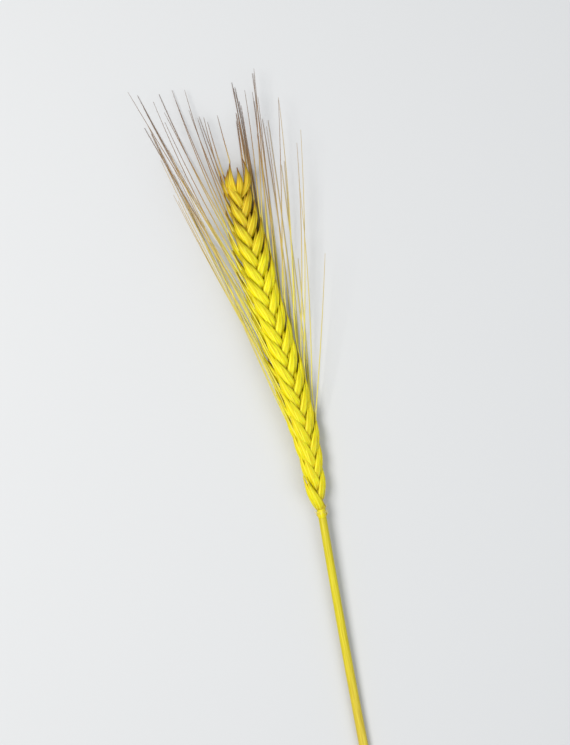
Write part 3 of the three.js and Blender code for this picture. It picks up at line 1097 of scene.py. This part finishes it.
def straw_recipe(start, read):
    """The ramp of the straw, with its streaks."""
    along, around = read("along"), read("around")
    lengthwise = start.node("ShaderNodeCombineXYZ", None, X=around * 2.0, Y=along * 2.5, Z=0.0)()
    streaks = start.node("ShaderNodeTexNoise", None, Vector=lengthwise, Scale=4.0, Detail=4.0)("Fac")
    base = start.node("ShaderNodeValToRGB", {"stops": STRAW_STOPS}, Fac=along)("Color")
    base = (streaks.between(0.42, 0.7) * 0.45).mix(base, PALE_STREAK)
    base = (streaks.between(0.5, 0.3) * 0.35).mix(base, DARK_STREAK)
    return base, 0.3 + streaks * 0.2, streaks


straw_finish = finish("polished straw", straw_recipe, 0.35, Specular_IOR_Level=0.3)

# %% [markdown]
# ## Put the pieces in place
# The solid part has two plain solids, the ear and the straw. They could be left inside, but they would
# show between the husks. Each fine piece gets its finish, rides on the part, and takes the place of the
# solid that it belongs to.

# %% Give each piece its finish and its place
for piece, material, node in [
    (glumes, husk_finish, "ear"),
    (lemmas, husk_finish, "ear"),
    (paleas, husk_finish, "ear"),
    (awns, awn_finish, "ear"),
    (collar, husk_finish, "ear"),
    (rachis, husk_finish, "ear"),
    (hairs, hair_finish, "ear"),
    (awn_barbs, awn_finish, "ear"),
    (straw, straw_finish, "straw"),
]:
    piece.data.materials.append(material)
    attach(piece, "root")
    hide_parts(node)
    print(piece.name, "takes the place of", node)

# %% [markdown]
# ## Floor
# The ear lies on a plain pale floor that fills the picture. A backdrop that curves up would show in a low
# view, but from above one flat square far larger than the ear is all that it needs.

# %% Floor
FLOOR_REACH = 3
FLOOR_LEVEL = -0.0001
PAPER_GREY = (0.605, 0.61, 0.618, 1)

floor_mesh = bpy.data.meshes.new("floor")
floor_corners = [(-1, -1), (1, -1), (1, 1), (-1, 1)]
floor_points = [(x * FLOOR_REACH, y * FLOOR_REACH, FLOOR_LEVEL) for x, y in floor_corners]
floor_mesh.from_pydata(floor_points, [], [(0, 1, 2, 3)])
floor = bpy.data.objects.new("floor", floor_mesh)
bpy.context.scene.collection.objects.link(floor)
floor_finish = bpy.data.materials.new("plain paper")
floor_finish.use_nodes = True
floor_shader = floor_finish.node_tree.nodes["Principled BSDF"]
floor_shader.inputs["Base Color"].default_value = PAPER_GREY
floor_shader.inputs["Roughness"].default_value = 0.9
floor_shader.inputs["Specular IOR Level"].default_value = 0.1
floor_mesh.materials.append(floor_finish)
print("floor:", 2 * FLOOR_REACH, "m wide")

# %% [markdown]
# ## Light
# The ear lies in soft daylight from above and the left. A sun lamp would draw hard shadows of the awns,
# so two large square lamps light it, a warm strong one and a cool weaker one across from it, and a dim
# even sky keeps the gaps between the husks from going black.

# %% Sky and lamps
SKY_COLOUR = (0.93, 0.96, 1.0, 1)
SKY_STRENGTH = 0.37

world = bpy.data.worlds.new("studio")
bpy.context.scene.world = world
world.use_nodes = True
sky = world.node_tree.nodes["Background"]
sky.inputs["Color"].default_value = SKY_COLOUR
sky.inputs["Strength"].default_value = SKY_STRENGTH


def soft_light(name, place, size, power, tint):
    """A square lamp at a place in metres, turned to the middle of the part."""
    lamp = bpy.data.lights.new(name, "AREA")
    lamp.size = size
    lamp.energy = power
    lamp.color = tint
    holder = bpy.data.objects.new(name, lamp)
    holder.location = place
    holder.rotation_euler = (-Vector(place)).to_track_quat("-Z", "Y").to_euler()
    bpy.context.scene.collection.objects.link(holder)
    print(f"{name}: {power} W from {Vector(place).length:.2f} m")


soft_light("window light", (-0.38, 0.12, 0.71), 0.42, 6.0, (1.0, 0.985, 0.95))
soft_light("fill light", (0.45, -0.25, 0.75), 0.7, 3.1, (0.92, 0.96, 1.0))

# %% [markdown]
# ## Camera
# The camera looks straight down. Its lens could be set by eye, but the size of a pixel is known, so it
# follows from the camera's height, and its place from where the collar has to be in the picture. It is
# turned so that the straw leans as it should.

# %% Camera
MM_PER_PIXEL = 0.315
FRAME_WIDTH = 570
FRAME_HEIGHT = 745
COLLAR_PIXEL = (322, 515)
STRAW_TILT = math.radians(9.6)
CAMERA_HEIGHT = 1.2
SENSOR_HEIGHT = 36
VIEW_LIMIT = 20

right = Vector((math.cos(STRAW_TILT), -math.sin(STRAW_TILT), 0))
up = Vector((math.sin(STRAW_TILT), math.cos(STRAW_TILT), 0))
middle = Vector((COLLAR_X, COLLAR_Y, 0)) + right * (FRAME_WIDTH / 2 - COLLAR_PIXEL[0]) * MM_PER_PIXEL
middle -= up * (FRAME_HEIGHT / 2 - COLLAR_PIXEL[1]) * MM_PER_PIXEL
camera_data = bpy.data.cameras.new("camera")
camera_data.sensor_fit = "VERTICAL"
camera_data.sensor_height = SENSOR_HEIGHT
camera_data.lens = SENSOR_HEIGHT * CAMERA_HEIGHT / (FRAME_HEIGHT * MM_PER_PIXEL * 0.001)
camera_data.clip_end = VIEW_LIMIT
camera = bpy.data.objects.new("camera", camera_data)
camera_turn = Matrix((right, up, Vector((0, 0, 1)))).transposed().to_4x4()
camera.matrix_world = Matrix.Translation(middle * 0.001 + Vector((0, 0, CAMERA_HEIGHT))) @ camera_turn
bpy.context.scene.collection.objects.link(camera)
bpy.context.scene.camera = camera
bpy.context.scene.view_settings.view_transform = "Standard"
print("lens", round(camera_data.lens, 1), "mm")
